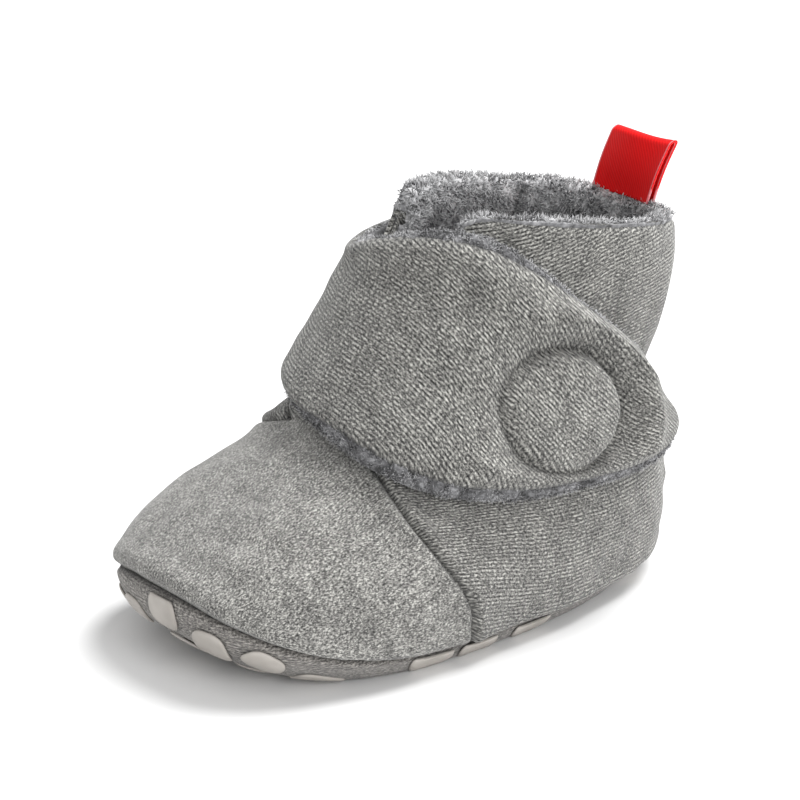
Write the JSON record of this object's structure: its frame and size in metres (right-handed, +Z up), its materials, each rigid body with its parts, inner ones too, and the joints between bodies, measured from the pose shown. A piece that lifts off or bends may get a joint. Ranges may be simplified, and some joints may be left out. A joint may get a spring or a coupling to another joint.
{
  "type": "baby bootie slipper",
  "caption": "Soft baby bootie with a fleece lining, a gathered ankle, a padded wrap strap over an open throat and a soft rolled sole.",
  "frame": {"origin": "on the floor under the middle of the sole, half way from heel to toe", "axes": "+X from heel to toe, +Y to the outer (left) side of the foot, +Z up"},
  "size_m": [0.1194, 0.0696, 0.0866],
  "materials": {
    "sole_jersey": "grey marl jersey, quilted, with printed grip patches",
    "upper_jersey": "grey marl cotton jersey, fleece lined",
    "fleece": "grey coral fleece",
    "strap_jersey": "grey marl cotton jersey over padding",
    "label_ribbon": "red woven satin ribbon, bare"
  },
  "bodies": {
    "root": {"sole": "sole_jersey", "upper": "upper_jersey", "insole": "fleece", "wrap_strap": "strap_jersey", "back_label": "label_ribbon"}
  },
  "joints": []
}
